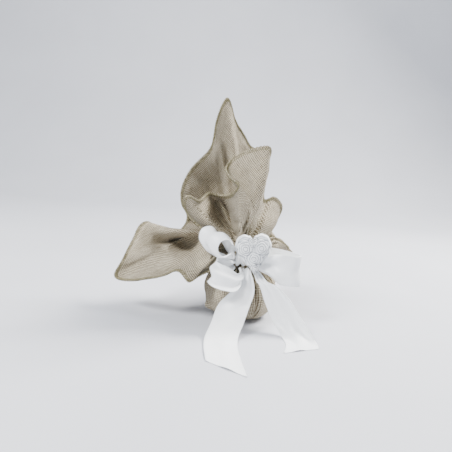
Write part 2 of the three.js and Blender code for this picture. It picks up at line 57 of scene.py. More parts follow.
# ------------------------------------------------------------------ shape data (mm)
CLOTH_SIDE = 300.0
NECK_FLAT = 94.0
NECK_R = 9.0
NECK_Z = 54.0
BAG = np.array([[0, 0, 0], [14, 14, 0], [22, 21.5, 2], [32, 28.5, 8.5], [44, 31, 20], [57, 29.5, 32.5],
                [68, 22.5, 40.6], [78, 13.5, 43.4], [84, 9.4, 46], [94, 9.0, 54]], float)
HEM = np.array([[0, -105.9, -12.0, 26.0], [20, -88.7, -22.0, 27.6], [40, -73.9, -28.0, 33.0], [58, -60.7, -32.0, 38.4], [74, -49.3, -35.0, 40.2],
  [82, -43.2, -36.0, 34.4], [92, -36.6, -31.0, 37.7], [106, -24.0, -28.5, 44.5], [120, -17.5, -20.5, 57.0], [132, -32.5, -22.0, 72.5],
  [143, -44.7, -20.0, 81.9], [153, -51.7, -21.0, 91.2], [160, -52.4, -24.0, 98.8], [167, -48.0, -26.0, 102.1], [176, -41.7, -22.0, 98.7],
  [187, -37.7, -10.0, 100.3], [197, -34.4, 2.0, 103.0], [208, -26.7, 6.0, 102.0], [219, -18.1, -6.0, 103.3], [230, -13.0, -24.0, 107.2],
  [238, -9.9, -39.0, 112.9], [242.5, -10.2, -40.5, 116.0], [247, -12.0, -38.5, 117.6], [253, -16.5, -28.0, 119.8], [262, -20.7, -12.0, 125.7],
  [271, -17.9, -5.0, 131.5], [281, -10.2, -10.0, 137.8], [290, -2.7, -18.0, 142.0], [300, 10.4, -30.0, 145.6], [312, 13.4, -22.0, 137.4],
  [328, 13.6, -12.0, 126.8], [345, 12.6, -6.0, 115.0], [361, 12.8, -1.0, 103.7], [373, 16.5, 6.0, 101.2], [382, 21.8, 10.0, 103.5],
  [392, 28.7, 15.0, 100.1], [401, 31.8, 17.0, 93.0], [410, 27.3, 12.0, 84.3], [420, 21.7, 6.0, 78.5], [430, 24.8, 10.0, 72.0],
  [442, 31.7, 20.0, 65.4], [455, 39.1, 32.0, 59.1], [466, 45.9, 44.0, 52.5], [485, 55.6, 58.0, 42.4], [508, 60.4, 72.0, 34.5],
  [535, 60.2, 84.0, 31.8], [568, 58.6, 92.0, 27.6], [600, 50.0, 94.0, 26.0], [630, 34.7, 92.0, 32.1], [655, 26.0, 80.0, 46.8],
  [680, 20.1, 64.0, 55.5], [705, 16.8, 48.0, 69.8], [730, 10.5, 34.0, 88.3], [755, 4.2, 30.0, 104.8], [780, 1.1, 36.0, 122.5],
  [812, 1.1, 32.0, 140.6], [835, -2.5, 24.0, 147.3], [855, -9.7, 18.0, 157.7], [878, -17.7, 12.0, 169.3], [900, -24.7, 6.0, 183.0],
  [912, -29.1, 4.0, 175.1], [935, -33.0, 4.0, 156.0], [955, -35.7, 6.0, 140.8], [970, -43.4, 4.0, 131.0], [988, -51.0, 2.0, 121.1],
  [1003, -55.8, 2.0, 110.6], [1017, -57.6, 6.0, 99.0], [1030, -54.8, 12.0, 88.2], [1044, -52.3, 20.0, 78.5], [1056, -54.8, 24.0, 69.5],
  [1068, -60.8, 24.0, 63.9], [1080, -68.9, 24.5, 61.9], [1092, -76.2, 23.5, 64.1], [1103, -84.8, 24.0, 69.3], [1111, -90.0, 22.0, 70.5],
  [1120, -94.5, 18.0, 67.1], [1132, -97.3, 12.0, 58.7], [1150, -100.4, 4.0, 49.2], [1172, -103.5, -7.0, 39.0]], float)
MID = np.array([[0, 0, 0, 12, 0], [20, 0, -4, 10, 0], [40, 0, -10, 6, 0], [74, -2, -10, 0, 0], [92, -2, -8, 6, 0],
  [106, -2, -4, 4, 0], [120, -2, -1, 2, 0], [132, -1, 0, 0, 0], [150, 0, -3, 0, 0], [167, 2, -4, -4, 0],
  [187, 4, 0, -8, 0], [208, 2, 6, -6, 0], [222, 0, 3, -4, 0], [230, 1, -2, 0, 0], [238, 0, -6, 0, 0.3],
  [247, 5, -2.5, 0, 3], [253, 7, -7, 0, 3], [262, 10, -17, 0, 1.6], [271, 10.5, -19, 0, 1.6], [281, 8, -17, 0, 1.4],
  [290, 5, -14, 0, 1.2], [300, 3, -8, 0, 0.8], [345, 2, -4, 0, 0], [373, 2, -3, 2, 0], [401, 4, -4, -2, 0],
  [420, 1, -3, -6, 0], [450, 2, 0, -2, 0], [500, 4, 6, 0, 0], [550, 4, 6, 4, 0], [600, 0, 6, 10, 0],
  [650, 0, 0, 0, 0], [680, 0, 6, 0, 0], [740, -5, 4, 0, 0], [780, -1.5, 5, 0, 0], [800, 0, 7, 0, 0],
  [850, 0, 8, 0, 0], [880, 3, 4, 0, 0], [900, 0, -2, 0, 0], [920, -3, 6, 0, 0], [970, -8, 8, 0, 0],
  [1003, -8, 8, 0, 0], [1030, -4, 8, -2, 0], [1060, 0, 8, -2, 0], [1080, 0, 6, -8, 0], [1100, 0, 6, -6, 0],
  [1120, 0, 6, 0, 0], [1150, 0, 4, 2, 0], [1175, 0, 2, 8, 0]], float)
PERIM = 4 * CLOTH_SIDE

# ------------------------------------------------------------------ curves
def closed_spline(rows):
    t = rows[:, 0]; y = rows[:, 1:]; n = len(t)
    h = np.append(np.diff(t), t[0] + PERIM - t[-1])
    A = np.zeros((n, n)); b = np.zeros((n, y.shape[1]))
    for i in range(n):
        p = (i - 1) % n; q = (i + 1) % n
        A[i, p] += h[p]; A[i, i] += 2 * (h[p] + h[i]); A[i, q] += h[i]
        b[i] = 6 * ((y[q] - y[i]) / h[i] - (y[i] - y[p]) / h[p])
    mm = np.linalg.solve(A, b)
    def at(T):
        T = np.mod(np.atleast_1d(np.asarray(T, float)), PERIM)
        i = np.clip(np.searchsorted(t, T, side="right") - 1, 0, n - 1); q = (i + 1) % n
        hh = h[i]; a = ((t[i] + hh - T) / hh)[:, None]; c = 1 - a
        return a * y[i] + c * y[q] + ((a ** 3 - a) * mm[i] + (c ** 3 - c) * mm[q]) * (hh ** 2)[:, None] / 6
    return at

def pchip(x, y):
    x = np.asarray(x, float); y = np.asarray(y, float); h = np.diff(x); d = np.diff(y, axis=0) / (h if y.ndim == 1 else h[:, None])
    s = np.zeros_like(y); s[0] = d[0]; s[-1] = d[-1]
    for i in range(1, len(x) - 1):
        a = 2 * h[i] + h[i - 1]; b = h[i] + 2 * h[i - 1]
        ok = d[i - 1] * d[i] > 0
        with np.errstate(divide="ignore", invalid="ignore"):
            v = (a + b) / (a / d[i - 1] + b / d[i])
        s[i] = np.where(ok, v, 0)
    def at(v):
        v = np.atleast_1d(np.asarray(v, float)); i = np.clip(np.searchsorted(x, v, side="right") - 1, 0, len(x) - 2)
        hh = h[i]; k = (v - x[i]) / hh
        if y.ndim > 1: hh = hh[:, None]; k = k[:, None]
        return (2 * k ** 3 - 3 * k ** 2 + 1) * y[i] + (k ** 3 - 2 * k ** 2 + k) * hh * s[i] + (-2 * k ** 3 + 3 * k ** 2) * y[i + 1] + (k ** 3 - k ** 2) * hh * s[i + 1]
    return at

hem_at = closed_spline(HEM)
_m = np.vstack([MID - [PERIM, 0, 0, 0, 0], MID, MID + [PERIM, 0, 0, 0, 0]])
mid_at = pchip(_m[:, 0], _m[:, 1:])
bag_at = pchip(BAG[:, 0], BAG[:, 1:])
smooth = lambda x: np.clip(x, 0, 1) ** 2 * (3 - 2 * np.clip(x, 0, 1))

def gore(T):
    T = np.mod(T, PERIM); k = np.floor(T / CLOTH_SIDE); s = T - CLOTH_SIDE * k - CLOTH_SIDE / 2
    return np.radians(225 + 90 * k) + np.arctan2(s, CLOTH_SIDE / 2), np.hypot(s, CLOTH_SIDE / 2)

def wobble(seed, n, period, k):
    """smooth closed random wave, n samples"""
    g = np.random.RandomState(seed); x = np.arange(n) / n * 2 * np.pi; out = np.zeros(n)
    for i in range(1, k + 1):
        out += g.normal() * np.cos(i * x + g.uniform(0, 6.28)) / (1 + 0.35 * i)
    return out / max(1e-9, np.abs(out).max())

# ------------------------------------------------------------------ linen
NPL = 38              # pleats gathered at the neck
NR = NPL * 18         # gores, 18 for each pleat
NF = 96               # rows from neck to hem
T_ = np.arange(NR) * PERIM / NR
ANG, RMAX = gore(T_)
H_ = hem_at(T_); N_ = np.stack([NECK_R * np.cos(ANG), NECK_R * np.sin(ANG), np.full(NR, NECK_Z)], 1)
CH = H_ - N_; LEN = np.linalg.norm(CH, axis=1)
T0_ = np.stack([0.25 * np.cos(ANG), 0.25 * np.sin(ANG), np.full(NR, 0.97)], 1) * (LEN * 0.75)[:, None]
MD = mid_at(T_)

def row_at(u):
    """one row of the flare at u from neck to hem, all gores"""
    h00 = 2 * u ** 3 - 3 * u ** 2 + 1; h10 = u ** 3 - 2 * u ** 2 + u; h01 = -2 * u ** 3 + 3 * u ** 2; h11 = u ** 3 - u ** 2
    w = 16 * (u * (1 - u)) ** 2 * (2 * np.maximum(u, 1e-6)) ** MD[:, 3]
    return h00 * N_ + h10 * T0_ + h01 * H_ + h11 * 1.05 * CH + w[:, None] * MD[:, :3]

rho_bag = np.concatenate([[0.5, 4, 8, 11, 14], np.linspace(16, 94, 64)[:-1]])
rows = []; rho = []
for q in rho_bag:
    rz = bag_at(q)[0]
    rows.append(np.stack([rz[0] * np.cos(ANG), rz[0] * np.sin(ANG), np.full(NR, rz[1] + 0.45)], 1)); rho.append(np.full(NR, q))
us = np.linspace(0, 1, NF + 1) ** 1.05
for u in us:
    rows.append(row_at(u)); rho.append(NECK_FLAT + (RMAX - NECK_FLAT) * u)
G = np.array(rows); RHO = np.array(rho); NB = len(rho_bag); NROW = len(G)
UROW = np.concatenate([np.zeros(NB), us])
SM = G.copy()                                   # the cloth before its pleats, for the thread directions
# thread coordinates: each petal is laid out flat as a fan from the neck, the bag as a rolled strip
dr = np.vstack([np.zeros(NR), np.cumsum(np.linalg.norm(np.diff(SM[NB:], axis=0), axis=2), 0)]) + 10.0
da = np.linalg.norm(np.roll(SM[NB:], -1, 1) - SM[NB:], axis=2)
FLAT = np.zeros((NROW, NR, 2))
SPAN = [(-166, 132), (-168, 222), (-78, 150), (-150, 134)]      # the layouts meet in folds that don't show
for k in range(4):
    cols = [j for j in range(NR) if SPAN[k][0] <= (T_[j] - 300 * k + 600) % 1200 - 600 <= SPAN[k][1]]
    off_ = {j: (T_[j] - 300 * k + 600) % 1200 - 600 for j in cols}; cols.sort(key=lambda j: off_[j]); c0 = min(range(len(cols)), key=lambda i: abs(off_[cols[i]]))
    run = np.cumsum(np.concatenate([np.zeros((len(dr), 1)), da[:, cols[:-1]]], 1), 1); run = run - run[:, c0:c0 + 1]
    R_ = dr[:, cols]; fi = run / R_ + math.pi / 4
    FLAT[NB:, cols, 0] = R_ * np.sin(fi) + 400 * k; FLAT[NB:, cols, 1] = R_ * np.cos(fi)
sb = np.concatenate([[0], np.cumsum(np.linalg.norm(np.diff(SM[:NB], axis=0), axis=2)[:, 0])])
FLAT[:NB, :, 0] = ANG[None, :] * 28.0; FLAT[:NB, :, 1] = sb[:, None]

def normals(G):
    a = np.roll(G, -1, 1) - np.roll(G, 1, 1); b = np.empty_like(G)
    b[1:-1] = G[2:] - G[:-2]; b[0] = G[1] - G[0]; b[-1] = G[-1] - G[-2]
    n = np.cross(a, b); return n / np.maximum(np.linalg.norm(n, axis=2, keepdims=True), 1e-9)
NRM = normals(G)

# distance from the neck along the gore, negative below it
S_UP = UROW[:, None] * LEN[None, :]
S_DN = np.where(np.arange(NROW)[:, None] < NB, NECK_FLAT - RHO, 0.0)
# pleats gathered into the neck
ph = NPL * T_ / PERIM + 0.26 * wobble(3, NR, 1, 9)
tri = np.arcsin(0.97 * np.cos(2 * np.pi * ph)) / np.arcsin(0.97)
pulse = 0.5 - 0.5 * tri
depth = 7.0 * (0.88 + 0.12 * wobble(5, NR, 1, 20))
back = smooth((T_ - 430) / 60) * (1 - smooth((T_ - 1010) / 50))     # folds run further up at the back
left = smooth((T_ - 1110) / 40) + (1 - smooth((T_ - 60) / 40))
reach = 46 + 52 * back + 8 * wobble(8, NR, 1, 14)
inbag = (np.arange(NROW)[:, None] < NB)
up = np.where(S_UP > 0, 1 - smooth((S_UP - 2) / np.maximum(reach[None, :] - 2, 6)), 1.0)
dnp = np.interp(RHO, [24, 36, 46, 54, 62, 70, 76, 84, 94], [0, 0.02, 0.10, 0.26, 0.44, 0.60, 0.74, 0.90, 1.0])
fall = np.where(inbag, dnp, up ** 1.1)
G = G - NRM * (depth * pulse)[None, :, None] * fall[:, :, None]
# wide soft folds in the two petals at the back, where the edge hangs in waves
uu = UROW[:, None]
ruf = smooth((T_ - 605) / 40) * (1 - smooth((T_ - 800) / 40))
G = G + NRM * (ruf * 7.0 * np.sin(2 * np.pi * (T_ - 605) / 46.0))[None, :, None] * (smooth(uu * 1.4) * ~inbag)[:, :, None]
ruf2 = smooth((T_ - 405) / 30) * (1 - smooth((T_ - 530) / 40))
G = G + NRM * (ruf2 * 3.6 * np.sin(2 * np.pi * (T_ - 405) / 40.0))[None, :, None] * (smooth(uu * 1.4) * ~inbag)[:, :, None]

# hollows and ridges of the front, moved along the line of sight so the outline stays put
def project(P_):
    d = P_ - CAM_AT / MM; z = d @ FWD
    return 226 + 473 * (d @ RV) / z, 226 - 473 * (d @ UV_) / z, d / np.linalg.norm(d, axis=-1, keepdims=True)
def seg_dist(px, py, a, b):
    a = np.array(a, float); b = np.array(b, float); v = b - a; L2 = (v ** 2).sum()
    t = np.clip(((px - a[0]) * v[0] + (py - a[1]) * v[1]) / L2, 0, 1); dx = px - a[0] - t * v[0]; dy = py - a[1] - t * v[1]
    side = np.sign((px - a[0]) * v[1] - (py - a[1]) * v[0])
    return np.hypot(dx, dy), t, side
def tw(a, b, s_=14):
    """gores between a and b, faded at both ends; a may be below 0"""
    t = np.where(T_ > 1200 + a if a < 0 else False, T_ - 1200, T_) if a < 0 else T_
    return smooth((t - a) / s_) * (1 - smooth((t - b + s_) / s_))
def push(a, b, width, amount, window, u0=0.06, u1=0.94, sharp=2.0, taper=True):
    global G
    px, py, ray = project(G); d, t, side = seg_dist(px, py, a, b)
    w = np.exp(-(d / width) ** sharp) * (np.sin(np.pi * (0.12 + 0.76 * t)) if taper else 1.0)
    w = w * window[None, :] * smooth((uu - u0) / 0.12) * (1 - smooth((uu - u1) / 0.05)) * ~inbag
    G = G + ray * (amount * w)[:, :, None]
push((207, 203), (237, 230), 11.0, 22.0, tw(150, 236), sharp=2.6)          # hollow of the front valley
push((168, 247), (203, 247), 11.5, 30.0, tw(-160, 130), sharp=2.8, u1=0.97)         # hollow of the left petal
push((150, 240), (166, 250), 7.0, 5.0, tw(-150, 60))
push((156, 229), (206, 235), 6.5, -23.0, tw(-170, -52, 10), u0=0.30, u1=1.4, sharp=2.4)   # its far edge rolls over the hollow
push((134, 236), (140, 262), 8.0, -3.0, tw(-130, 60))
push((218, 142), (232, 190), 3.2, -4.0, tw(800, 1010), sharp=1.3)  # ridge down the tall petal
push((200, 172), (222, 186), 9.0, 6.0, tw(880, 1020))
push((226, 152), (226, 176), 4.0, 3.0, tw(800, 1010))
push((243, 196), (249, 232), 2.6, 3.4, tw(236, 330), sharp=1.5)   # creases of the right petal
push((256, 170), (254, 222), 6.0, -2.4, tw(250, 400))
NRM = normals(G)

# crumple: slow waves over the cloth, stronger on the bag where the sweets press out
gx = RHO * np.cos(ANG)[None, :]; gy = RHO * np.sin(ANG)[None, :]
def waves(seed, size, k):
    g = np.random.RandomState(seed); out = np.zeros_like(gx)
    for _ in range(k):
        a = g.uniform(0, 6.28); q = 2 * np.pi / (size * g.uniform(0.7, 1.5)); out += np.cos(q * (gx * np.cos(a) + gy * np.sin(a)) + g.uniform(0, 6.28))
    return out / math.sqrt(k)
far = smooth(S_UP / 30.0) * (1 - 0.6 * smooth((UROW[:, None] - 0.9) / 0.1))
G = G + NRM * ((0.55 * waves(21, 34, 7) + 0.28 * waves(22, 15, 8) + 0.10 * waves(23, 6, 9)) * far)[:, :, None]
bagmask = smooth((RHO - 20) / 12) * (1 - smooth((RHO - 78) / 14)) * (np.arange(NROW)[:, None] < NB)
soft = 0.55 * waves(31, 26, 6) + 0.25 * waves(32, 11, 8)
G = G + NRM * (soft * bagmask - 0.4 * bagmask)[:, :, None]
# the tucked fold down the front right of the bag
az = np.degrees(np.mod(ANG, 2 * np.pi))[None, :]
hz = np.clip(G[:, :, 2], 0, 60)
line = 291 + 9 * (1 - hz / 40.0)
d = (az - line) / 180 * np.pi * 30.0
tuck = np.exp(-(d / 1.6) ** 2) * -3.2 + np.exp(-((d - 5.0) / 4.2) ** 2) * 1.5
tz = smooth((hz - 2) / 6) * (1 - smooth((hz - 34) / 6)) * (np.arange(NROW)[:, None] < NB)
G = G + NRM * (tuck * tz)[:, :, None]
# left foot: a small pinch of cloth standing out at the base
d2 = (az - 204) / 180 * np.pi * 30.0
G = G + NRM * (np.exp(-(d2 / 4.0) ** 2) * 2.6 * np.exp(-((hz - 9.5) / 3.2) ** 2) * (np.arange(NROW)[:, None] < NB))[:, :, None]
G[:, :, 2] = np.where((np.arange(NROW)[:, None] < NB), np.maximum(G[:, :, 2], 0.42), G[:, :, 2])
# normals, smoothed over neighbouring gores
NRM = normals(G)
for _ in range(2):
    NRM = (NRM + np.roll(NRM, 1, 1) + np.roll(NRM, -1, 1)); NRM /= np.maximum(np.linalg.norm(NRM, axis=2, keepdims=True), 1e-9)
TH = 0.85 - 0.55 * fall        # the threads are squeezed thin in the pleats

def mesh(name, verts, faces, mat=None, smooth_shade=True, uv=None):
    me = bpy.data.meshes.new(name); me.from_pydata([tuple(v) for v in np.asarray(verts) * MM], [], [tuple(int(i) for i in f) for f in faces]); me.update()
    if uv is not None:
        l = me.uv_layers.new(name="weave"); idx = np.empty(len(me.loops), int); me.loops.foreach_get("vertex_index", idx)
        l.data.foreach_set("uv", np.asarray(uv, np.float32)[idx].ravel())
    if smooth_shade: me.polygons.foreach_set("use_smooth", [True] * len(me.polygons))
    o = bpy.data.objects.new(name, me); bpy.context.scene.collection.objects.link(o)
    if mat: me.materials.append(mat)
    return o

def quads(a, b, n, flip=False):
    k = np.arange(n); k2 = (k + 1) % n
    q = np.stack([a + k, a + k2, b + k2, b + k], 1)
    return q[:, ::-1] if flip else q

# ------------------------------------------------------------------ materials
def new_mat(name):
    mt = bpy.data.materials.new(name); mt.use_nodes = True
    nt = mt.node_tree; b = nt.nodes["Principled BSDF"]; return mt, nt, b
def node(nt, kind, **kw):
    n = nt.nodes.new(kind)
    for k, v in kw.items():
        if k.startswith("i_"): n.inputs[int(k[2:])].default_value = v
        else: setattr(n, k, v)
    return n
def math_(nt, op, a, b=None, c=None):
    n = nt.nodes.new("ShaderNodeMath"); n.operation = op
    for i, v in enumerate((a, b, c)):
        if v is None: continue
        if isinstance(v, (int, float)): n.inputs[i].default_value = v
        else: nt.links.new(v, n.inputs[i])
    return n.outputs[0]
def ramp(nt, fac, stops):
    n = nt.nodes.new("ShaderNodeValToRGB"); cr = n.color_ramp
    while len(cr.elements) < len(stops): cr.elements.new(0.5)
    for e, (p, c) in zip(cr.elements, stops): e.position = p; e.color = (*c, 1)
    nt.links.new(fac, n.inputs[0]); return n.outputs[0]

def linen_material():
    mt, nt, b = new_mat("linen weave")
    uv = node(nt, "ShaderNodeUVMap", uv_map="weave").outputs[0]
    # threads wander a little
    nz = node(nt, "ShaderNodeTexNoise"); nz.inputs["Scale"].default_value = 0.22; nz.inputs["Detail"].default_value = 3
    nt.links.new(uv, nz.inputs["Vector"])
    off = node(nt, "ShaderNodeVectorMath", operation="SCALE"); off.inputs["Scale"].default_value = 0.7
    nt.links.new(nz.outputs["Color"], off.inputs[0])
    ad = node(nt, "ShaderNodeVectorMath", operation="ADD"); nt.links.new(uv, ad.inputs[0]); nt.links.new(off.outputs[0], ad.inputs[1])
    sep = node(nt, "ShaderNodeSeparateXYZ"); nt.links.new(ad.outputs[0], sep.inputs[0])
    P = 1.42
    u = math_(nt, "DIVIDE", sep.outputs[0], P); v = math_(nt, "DIVIDE", sep.outputs[1], P)
    su = math_(nt, "SINE", math_(nt, "MULTIPLY", u, math.pi)); sv = math_(nt, "SINE", math_(nt, "MULTIPLY", v, math.pi))
    # warp and weft cross over and under
    au = math_(nt, "ABSOLUTE", su); av = math_(nt, "ABSOLUTE", sv)
    cu = math_(nt, "COSINE", math_(nt, "MULTIPLY", u, math.pi)); cv = math_(nt, "COSINE", math_(nt, "MULTIPLY", v, math.pi))
    par = math_(nt, "MULTIPLY", math_(nt, "SIGN", math_(nt, "MULTIPLY", su, sv)), 1.0)
    over = math_(nt, "MULTIPLY", par, 0.5); over = math_(nt, "ADD", over, 0.5)
    warp = math_(nt, "POWER", au, 0.6); weft = math_(nt, "POWER", av, 0.6)
    hgt = math_(nt, "ADD", math_(nt, "MULTIPLY", warp, over), math_(nt, "MULTIPLY", weft, math_(nt, "SUBTRACT", 1.0, over)))
    gap = math_(nt, "MULTIPLY", au, av); gap = math_(nt, "POWER", gap, 0.55)
    hgt = math_(nt, "MULTIPLY", hgt, gap)
    # slubs: thick and thin lengths of thread each way
    def slub(sx, sy, seed):
        mp = node(nt, "ShaderNodeMapping"); mp.inputs["Scale"].default_value = (sx, sy, 1); mp.inputs["Location"].default_value = (seed, seed * 2, 0)
        nt.links.new(uv, mp.inputs[0]); n = node(nt, "ShaderNodeTexNoise"); n.inputs["Scale"].default_value = 1.0; n.inputs["Detail"].default_value = 2
        nt.links.new(mp.outputs[0], n.inputs["Vector"]); return n.outputs["Fac"]
    s1 = slub(0.95, 0.09, 1.3); s2 = slub(0.08, 0.95, 7.7)
    sl = math_(nt, "ADD", math_(nt, "MULTIPLY", s1, over), math_(nt, "MULTIPLY", s2, math_(nt, "SUBTRACT", 1.0, over)))
    big = node(nt, "ShaderNodeTexNoise"); big.inputs["Scale"].default_value = 0.035; big.inputs["Detail"].default_value = 3; nt.links.new(uv, big.inputs["Vector"])
    tone = math_(nt, "ADD", math_(nt, "MULTIPLY", hgt, 0.62), math_(nt, "MULTIPLY", sl, 0.62))
    tone = math_(nt, "ADD", tone, math_(nt, "MULTIPLY", math_(nt, "SUBTRACT", big.outputs["Fac"], 0.5), 0.22))
    col = ramp(nt, tone, [(0.26, (0.022, 0.015, 0.008)), (0.44, (0.175, 0.138, 0.082)), (0.66, (0.445, 0.378, 0.262)), (0.95, (0.70, 0.625, 0.475))])
    nt.links.new(col, b.inputs["Base Color"])
    bp = node(nt, "ShaderNodeBump"); bp.inputs["Strength"].default_value = 0.9; bp.inputs["Distance"].default_value = 0.0005
    nt.links.new(math_(nt, "ADD", hgt, math_(nt, "MULTIPLY", sl, 0.7)), bp.inputs["Height"]); nt.links.new(bp.outputs[0], b.inputs["Normal"])
    rg = math_(nt, "SUBTRACT", 0.98, math_(nt, "MULTIPLY", hgt, 0.16)); nt.links.new(rg, b.inputs["Roughness"])
    b.inputs["Sheen Weight"].default_value = 0.12; b.inputs["Sheen Roughness"].default_value = 0.6
    b.inputs["Specular IOR Level"].default_value = 0.2
    return mt

def satin_material():
    mt, nt, b = new_mat("white satin")
    uv = node(nt, "ShaderNodeUVMap", uv_map="weave").outputs[0]
    mp = node(nt, "ShaderNodeMapping"); mp.inputs["Scale"].default_value = (0.25, 5.5, 1); nt.links.new(uv, mp.inputs[0])
    n = node(nt, "ShaderNodeTexNoise"); n.inputs["Scale"].default_value = 1.0; n.inputs["Detail"].default_value = 4; nt.links.new(mp.outputs[0], n.inputs["Vector"])
    sep = node(nt, "ShaderNodeSeparateXYZ"); nt.links.new(uv, sep.inputs[0])
    # woven selvedge along both edges: u runs 0..25 across the ribbon
    e = math_(nt, "ABSOLUTE", math_(nt, "SUBTRACT", sep.outputs[0], 12.5)); edge = math_(nt, "GREATER_THAN", e, 11.2)
    rib = math_(nt, "MULTIPLY", math_(nt, "SINE", math_(nt, "MULTIPLY", sep.outputs[1], 2 * math.pi / 0.55)), edge)
    tone = math_(nt, "ADD", n.outputs["Fac"], math_(nt, "MULTIPLY", rib, 0.12))
    col = ramp(nt, tone, [(0.2, (0.86, 0.885, 0.90)), (0.55, (0.94, 0.95, 0.955)), (0.85, (0.97, 0.975, 0.98))])
    nt.links.new(col, b.inputs["Base Color"])
    rr = math_(nt, "ADD", math_(nt, "MULTIPLY", n.outputs["Fac"], 0.16), 0.30); nt.links.new(rr, b.inputs["Roughness"])
    bp = node(nt, "ShaderNodeBump"); bp.inputs["Strength"].default_value = 0.22; bp.inputs["Distance"].default_value = 0.00012
    nt.links.new(math_(nt, "ADD", math_(nt, "MULTIPLY", n.outputs["Fac"], 0.6), rib), bp.inputs["Height"]); nt.links.new(bp.outputs[0], b.inputs["Normal"])
    b.inputs["Sheen Weight"].default_value = 0.25; b.inputs["Sheen Roughness"].default_value = 0.3
    b.inputs["Specular IOR Level"].default_value = 0.5; b.inputs["Anisotropic"].default_value = 0.4
    b.inputs["Subsurface Weight"].default_value = 0.05; b.inputs["Subsurface Radius"].default_value = (0.002, 0.002, 0.002)
    return mt

def plain_noise_material(name, lo, hi, scale, rough, bump=0.3, dist=0.0002, detail=5, metal=0.0):
    mt, nt, b = new_mat(name)
    tc = node(nt, "ShaderNodeTexCoord"); n = node(nt, "ShaderNodeTexNoise"); n.inputs["Scale"].default_value = scale; n.inputs["Detail"].default_value = detail
    nt.links.new(tc.outputs["Object"], n.inputs["Vector"])
    nt.links.new(ramp(nt, n.outputs["Fac"], [(0.3, lo), (0.7, hi)]), b.inputs["Base Color"])
    b.inputs["Roughness"].default_value = rough; b.inputs["Metallic"].default_value = metal
    bp = node(nt, "ShaderNodeBump"); bp.inputs["Strength"].default_value = bump; bp.inputs["Distance"].default_value = dist
    nt.links.new(n.outputs["Fac"], bp.inputs["Height"]); nt.links.new(bp.outputs[0], b.inputs["Normal"])
    return mt, nt, b

LINEN = linen_material()
SATIN = satin_material()
EDGE, _, _ = plain_noise_material("edging thread", (0.10, 0.085, 0.04), (0.32, 0.28, 0.16), 900, 0.9, 0.6, 0.0001)
PLASTER, nt_, b_ = plain_noise_material("plaster", (0.88, 0.89, 0.89), (0.95, 0.955, 0.955), 700, 0.82, 0.5, 0.00012)
b_.inputs["Subsurface Weight"].default_value = 0.05; b_.inputs["Subsurface Radius"].default_value = (0.002, 0.002, 0.002)
# painted shade: the plaster colour is multiplied darker in the crevices of the rose relief, read from the 'hollow'
# attribute
crevice_shade_attr = node(nt_, "ShaderNodeAttribute", attribute_name="hollow"); crevice_shade_mix = node(nt_, "ShaderNodeMixRGB", blend_type="MULTIPLY"); crevice_shade_mix.inputs[0].default_value = 1.0
nt_.links.new(b_.inputs["Base Color"].links[0].from_socket, crevice_shade_mix.inputs[1]); nt_.links.new(ramp(nt_, crevice_shade_attr.outputs["Fac"], [(0.15, (0.34, 0.35, 0.39)), (0.50, (0.90, 0.91, 0.92)), (0.9, (1.0, 1.0, 1.0))]), crevice_shade_mix.inputs[2])
nt_.links.new(crevice_shade_mix.outputs[0], b_.inputs["Base Color"])
THREAD, _, _ = plain_noise_material("neck thread", (0.62, 0.57, 0.44), (0.80, 0.76, 0.64), 1500, 0.85, 0.6, 0.0001)
GLUE, _, gb = plain_noise_material("hot glue", (0.78, 0.75, 0.66), (0.86, 0.84, 0.76), 200, 0.35, 0.2, 0.0001)
SUGAR, _, sb = plain_noise_material("sugar shell", (0.86, 0.84, 0.79), (0.93, 0.92, 0.88), 260, 0.42, 0.25, 0.00015)

def tulle_material():
    mt, nt, b = new_mat("tulle")
    uv = node(nt, "ShaderNodeUVMap", uv_map="weave").outputs[0]
    v = node(nt, "ShaderNodeTexVoronoi", feature="DISTANCE_TO_EDGE"); v.inputs["Scale"].default_value = 0.9; v.inputs["Randomness"].default_value = 0.25
    nt.links.new(uv, v.inputs["Vector"])
    line = math_(nt, "LESS_THAN", v.outputs["Distance"], 0.12)
    nt.links.new(ramp(nt, line, [(0.0, (0.80, 0.80, 0.79)), (1.0, (0.93, 0.93, 0.92))]), b.inputs["Base Color"])
    nt.links.new(math_(nt, "MULTIPLY_ADD", line, 0.75, 0.18), b.inputs["Alpha"]); b.inputs["Roughness"].default_value = 0.7
    return mt
TULLE = tulle_material()

# ------------------------------------------------------------------ the cloth mesh
outer = G + NRM * TH[:, :, None] / 2; inner = G - NRM * TH[:, :, None] / 2
outer[0] = np.stack([0.5 * np.cos(ANG), 0.5 * np.sin(ANG), np.full(NR, 0.02)], 1); inner[0] = outer[0] + [0, 0, 0.8]
outer[:, :, 2] = np.maximum(outer[:, :, 2], 0.02)
V = np.concatenate([outer.reshape(-1, 3), inner.reshape(-1, 3)]); IN = NROW * NR
F = [quads(i * NR, (i + 1) * NR, NR) for i in range(NROW - 1)] + [quads(IN + i * NR, IN + (i + 1) * NR, NR, True) for i in range(NROW - 1)]
F.append(quads((NROW - 1) * NR, IN + (NROW - 1) * NR, NR))
F = np.concatenate(F)
faces = [tuple(q) for q in F.tolist()] + [tuple(range(NR - 1, -1, -1)), tuple(range(IN, IN + NR))]
UVW = FLAT.reshape(-1, 2); UVW = np.concatenate([UVW, UVW])
linen = mesh("linen_cloth", V, faces, LINEN, uv=UVW)
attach(linen, "pouch"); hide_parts("linen_square")

